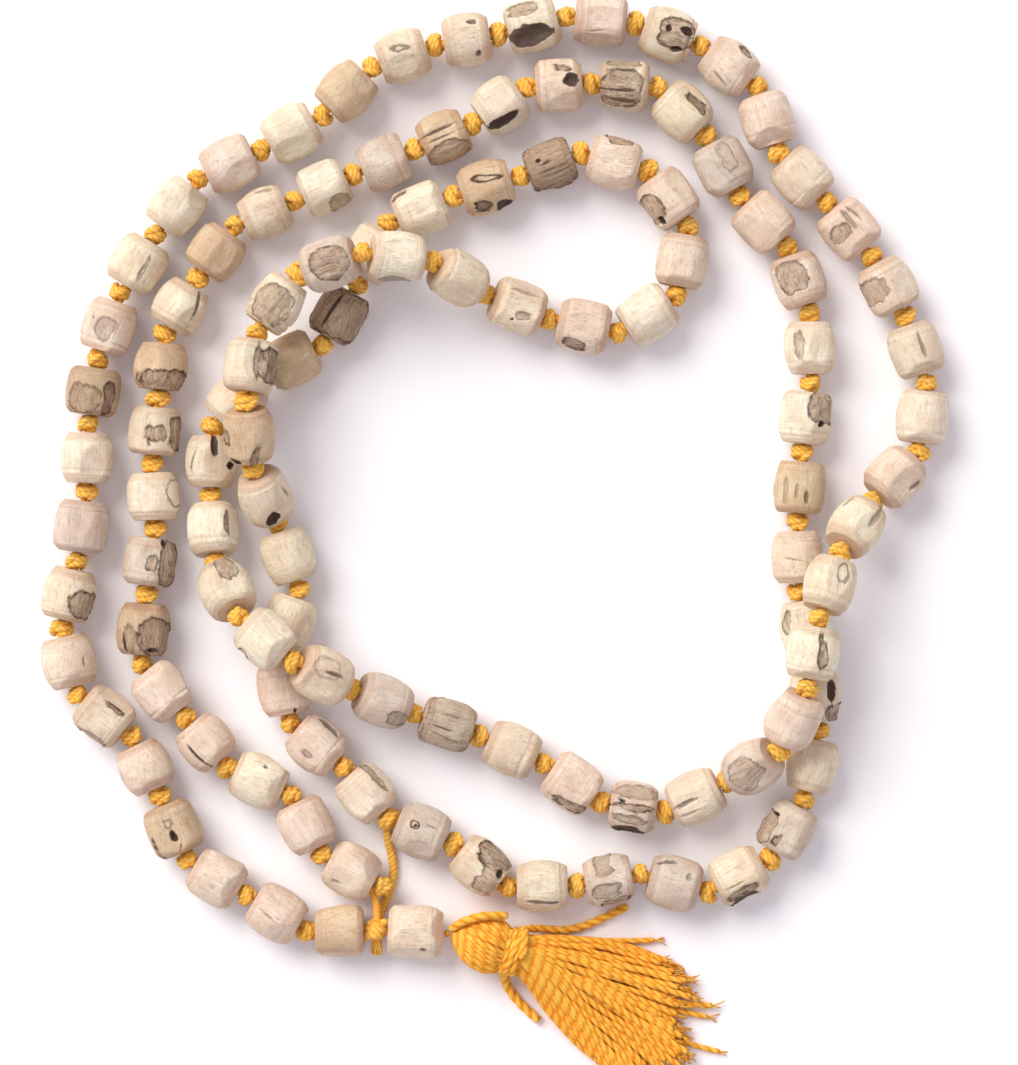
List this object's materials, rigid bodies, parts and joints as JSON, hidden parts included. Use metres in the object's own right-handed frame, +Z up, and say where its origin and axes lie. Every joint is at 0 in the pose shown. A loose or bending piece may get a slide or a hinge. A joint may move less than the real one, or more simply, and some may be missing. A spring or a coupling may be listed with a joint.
{
  "type": "prayer beads",
  "caption": "Mala prayer beads: turned raw-wood barrel beads knotted on one orange thread, closed by a guru bead and a thread tassel, lying in loose laps.",
  "frame": {"origin": "on the surface that the strand lies on, under the middle of the bounding box", "axes": "+X to the right, +Y away from the tassel's side, +Z up"},
  "size_m": [0.1546, 0.188, 0.0193],
  "materials": {
    "bead_wood": "raw pale wood, turned, with remnants of grey-brown bark",
    "guru_wood": "raw pale wood, turned",
    "thread": "twisted cotton thread dyed turmeric orange",
    "tassel_thread": "twisted cotton thread dyed turmeric orange"
  },
  "bodies": {
    "strand": {"strand_beads_1": "bead_wood", "knots_1": "thread", "stringing_cord_1": "thread", "strand_beads_2": "bead_wood", "knots_2": "thread", "stringing_cord_2": "thread", "strand_beads_3": "bead_wood", "knots_3": "thread", "stringing_cord_3": "thread", "strand_beads_4": "bead_wood", "knots_4": "thread", "stringing_cord_4": "thread", "joining_knot": "thread", "tassel_cord": "thread", "thread_tail": "thread"},
    "bead_003": {"bead_003": "bead_wood"},
    "bead_006": {"bead_006": "bead_wood"},
    "bead_009": {"bead_009": "bead_wood"},
    "bead_012": {"bead_012": "bead_wood"},
    "bead_015": {"bead_015": "bead_wood"},
    "bead_018": {"bead_018": "bead_wood"},
    "bead_021": {"bead_021": "bead_wood"},
    "bead_024": {"bead_024": "bead_wood"},
    "bead_027": {"bead_027": "bead_wood"},
    "bead_030": {"bead_030": "bead_wood"},
    "bead_033": {"bead_033": "bead_wood"},
    "bead_036": {"bead_036": "bead_wood"},
    "bead_039": {"bead_039": "bead_wood"},
    "bead_042": {"bead_042": "bead_wood"},
    "bead_045": {"bead_045": "bead_wood"},
    "bead_048": {"bead_048": "bead_wood"},
    "bead_051": {"bead_051": "bead_wood"},
    "bead_054": {"bead_054": "bead_wood"},
    "bead_057": {"bead_057": "bead_wood"},
    "bead_060": {"bead_060": "bead_wood"},
    "bead_063": {"bead_063": "bead_wood"},
    "bead_066": {"bead_066": "bead_wood"},
    "bead_069": {"bead_069": "bead_wood"},
    "bead_072": {"bead_072": "bead_wood"},
    "bead_075": {"bead_075": "bead_wood"},
    "bead_078": {"bead_078": "bead_wood"},
    "bead_081": {"bead_081": "bead_wood"},
    "bead_084": {"bead_084": "bead_wood"},
    "bead_087": {"bead_087": "bead_wood"},
    "bead_090": {"bead_090": "bead_wood"},
    "bead_093": {"bead_093": "bead_wood"},
    "bead_096": {"bead_096": "bead_wood"},
    "bead_099": {"bead_099": "bead_wood"},
    "bead_102": {"bead_102": "bead_wood"},
    "bead_105": {"bead_105": "bead_wood"},
    "bead_108": {"bead_108": "bead_wood"},
    "guru_bead": {"guru_bead": "guru_wood"},
    "tassel_loop": {"tassel_loop": "tassel_thread"},
    "tassel": {"tassel_head": "tassel_thread", "tassel_neck": "tassel_thread", "neck_binding": "tassel_thread", "tassel_skirt": "tassel_thread", "binding_tail": "tassel_thread", "upper_tail": "tassel_thread"}
  },
  "joints": [
    {"name": "bead_003_spin", "type": "hinge", "parent": "strand", "child": "bead_003", "pos_m": [-0.04736, -0.05658, 0.0047], "axis": [-0.8597, 0.5107, 0], "continuous": true},
    {"name": "bead_006_spin", "type": "hinge", "parent": "strand", "child": "bead_006", "pos_m": [-0.06651, -0.02908, 0.0047], "axis": [-0.7875, 0.6163, 0], "continuous": true},
    {"name": "bead_009_spin", "type": "hinge", "parent": "strand", "child": "bead_009", "pos_m": [-0.07036, 0.00317, 0.0047], "axis": [0.1272, 0.9919, 0], "continuous": true},
    {"name": "bead_012_spin", "type": "hinge", "parent": "strand", "child": "bead_012", "pos_m": [-0.06571, 0.03722, 0.0047], "axis": [0.3213, 0.947, 0], "continuous": true},
    {"name": "bead_015_spin", "type": "hinge", "parent": "strand", "child": "bead_015", "pos_m": [-0.04516, 0.06472, 0.0047], "axis": [0.906, 0.4233, 0], "continuous": true},
    {"name": "bead_018_spin", "type": "hinge", "parent": "strand", "child": "bead_018", "pos_m": [-0.01571, 0.08312, 0.0047], "axis": [0.9433, 0.3319, 0], "continuous": true},
    {"name": "bead_021_spin", "type": "hinge", "parent": "strand", "child": "bead_021", "pos_m": [0.01789, 0.08922, 0.0047], "axis": [0.9949, -0.1012, 0], "continuous": true},
    {"name": "bead_024_spin", "type": "hinge", "parent": "strand", "child": "bead_024", "pos_m": [0.04624, 0.07227, 0.0047], "axis": [0.2959, -0.9552, 0], "continuous": true},
    {"name": "bead_027_spin", "type": "hinge", "parent": "strand", "child": "bead_027", "pos_m": [0.06679, 0.04402, 0.0047], "axis": [0.4741, -0.8805, 0], "continuous": true},
    {"name": "bead_030_spin", "type": "hinge", "parent": "strand", "child": "bead_030", "pos_m": [0.06789, 0.01157, 0.0055], "axis": [-0.679, -0.7215, 0.1358], "continuous": true},
    {"name": "bead_033_spin", "type": "hinge", "parent": "strand", "child": "bead_033", "pos_m": [0.05329, -0.01803, 0.0146], "axis": [-0.1685, -0.9856, 0.0168], "continuous": true},
    {"name": "bead_036_spin", "type": "hinge", "parent": "strand", "child": "bead_036", "pos_m": [0.03404, -0.04278, 0.00525], "axis": [-0.8922, -0.4419, -0.0935], "continuous": true},
    {"name": "bead_039_spin", "type": "hinge", "parent": "strand", "child": "bead_039", "pos_m": [0.00279, -0.03478, 0.0047], "axis": [-0.9138, 0.4061, 0], "continuous": true},
    {"name": "bead_042_spin", "type": "hinge", "parent": "strand", "child": "bead_042", "pos_m": [-0.02911, -0.02183, 0.0118], "axis": [-0.8016, 0.3925, 0.4509], "continuous": true},
    {"name": "bead_045_spin", "type": "hinge", "parent": "strand", "child": "bead_045", "pos_m": [-0.04791, 0.00262, 0.006], "axis": [-0.0683, 0.9727, -0.2218], "continuous": true},
    {"name": "bead_048_spin", "type": "hinge", "parent": "strand", "child": "bead_048", "pos_m": [-0.03466, 0.03137, 0.0047], "axis": [0.8927, 0.4506, 0], "continuous": true},
    {"name": "bead_051_spin", "type": "hinge", "parent": "strand", "child": "bead_051", "pos_m": [-0.01266, 0.05692, 0.0047], "axis": [0.9273, 0.3743, 0], "continuous": true},
    {"name": "bead_054_spin", "type": "hinge", "parent": "strand", "child": "bead_054", "pos_m": [0.02019, 0.06507, 0.0047], "axis": [0.9691, -0.2465, 0], "continuous": true},
    {"name": "bead_057_spin", "type": "hinge", "parent": "strand", "child": "bead_057", "pos_m": [0.02579, 0.03922, 0.0047], "axis": [-0.8423, -0.5391, 0], "continuous": true},
    {"name": "bead_060_spin", "type": "hinge", "parent": "strand", "child": "bead_060", "pos_m": [-0.00626, 0.04517, 0.0093], "axis": [-0.7686, 0.4308, 0.473], "continuous": true},
    {"name": "bead_063_spin", "type": "hinge", "parent": "strand", "child": "bead_063", "pos_m": [-0.03671, 0.04067, 0.013], "axis": [-0.5727, -0.817, 0.0674], "continuous": true},
    {"name": "bead_066_spin", "type": "hinge", "parent": "strand", "child": "bead_066", "pos_m": [-0.03896, 0.00832, 0.00795], "axis": [0.3302, -0.7788, -0.5333], "continuous": true},
    {"name": "bead_069_spin", "type": "hinge", "parent": "strand", "child": "bead_069", "pos_m": [-0.03601, -0.02438, 0.0047], "axis": [0.1863, -0.9825, 0], "continuous": true},
    {"name": "bead_072_spin", "type": "hinge", "parent": "strand", "child": "bead_072", "pos_m": [-0.01266, -0.04868, 0.0047], "axis": [0.9273, -0.3743, 0], "continuous": true},
    {"name": "bead_075_spin", "type": "hinge", "parent": "strand", "child": "bead_075", "pos_m": [0.01924, -0.05688, 0.0047], "axis": [0.9836, 0.1805, 0], "continuous": true},
    {"name": "bead_078_spin", "type": "hinge", "parent": "strand", "child": "bead_078", "pos_m": [0.04959, -0.04828, 0.0047], "axis": [0.4943, 0.8693, 0], "continuous": true},
    {"name": "bead_081_spin", "type": "hinge", "parent": "strand", "child": "bead_081", "pos_m": [0.05264, -0.01383, 0.0047], "axis": [-0.1929, 0.9812, 0], "continuous": true},
    {"name": "bead_084_spin", "type": "hinge", "parent": "strand", "child": "bead_084", "pos_m": [0.05274, 0.02162, 0.0047], "axis": [0.1261, 0.992, 0], "continuous": true},
    {"name": "bead_087_spin", "type": "hinge", "parent": "strand", "child": "bead_087", "pos_m": [0.04559, 0.05487, 0.0047], "axis": [-0.6943, 0.7197, 0], "continuous": true},
    {"name": "bead_090_spin", "type": "hinge", "parent": "strand", "child": "bead_090", "pos_m": [0.02194, 0.07812, 0.0047], "axis": [-0.9975, 0.0706, 0], "continuous": true},
    {"name": "bead_093_spin", "type": "hinge", "parent": "strand", "child": "bead_093", "pos_m": [-0.00876, 0.06932, 0.0047], "axis": [-0.9168, -0.3994, 0], "continuous": true},
    {"name": "bead_096_spin", "type": "hinge", "parent": "strand", "child": "bead_096", "pos_m": [-0.03916, 0.05647, 0.0047], "axis": [-0.9201, -0.3917, 0], "continuous": true},
    {"name": "bead_099_spin", "type": "hinge", "parent": "strand", "child": "bead_099", "pos_m": [-0.05691, 0.03037, 0.0047], "axis": [-0.0914, -0.9958, 0], "continuous": true},
    {"name": "bead_102_spin", "type": "hinge", "parent": "strand", "child": "bead_102", "pos_m": [-0.05866, -0.00283, 0.0047], "axis": [-0.1339, -0.991, 0], "continuous": true},
    {"name": "bead_105_spin", "type": "hinge", "parent": "strand", "child": "bead_105", "pos_m": [-0.04921, -0.03353, 0.0047], "axis": [0.6553, -0.7554, 0], "continuous": true},
    {"name": "bead_108_spin", "type": "hinge", "parent": "strand", "child": "bead_108", "pos_m": [-0.02441, -0.05533, 0.0047], "axis": [0.8979, -0.4403, 0], "continuous": true},
    {"name": "guru_bead_spin", "type": "hinge", "parent": "strand", "child": "guru_bead", "pos_m": [-0.01432, -0.0657, 0.0047], "axis": [0.9986, -0.0523, 0], "continuous": true},
    {"name": "tassel_swing", "type": "hinge", "parent": "strand", "child": "tassel_loop", "pos_m": [-0.00817, -0.06602, 0.0047], "axis": [0, 0, 1], "range_deg": [-20, 0]},
    {"name": "tassel_lift", "type": "hinge", "parent": "tassel_loop", "child": "tassel", "pos_m": [-0.00817, -0.06602, 0.0047], "axis": [-0.3746, -0.9272, 0], "range_deg": [0, 22]}
  ]
}
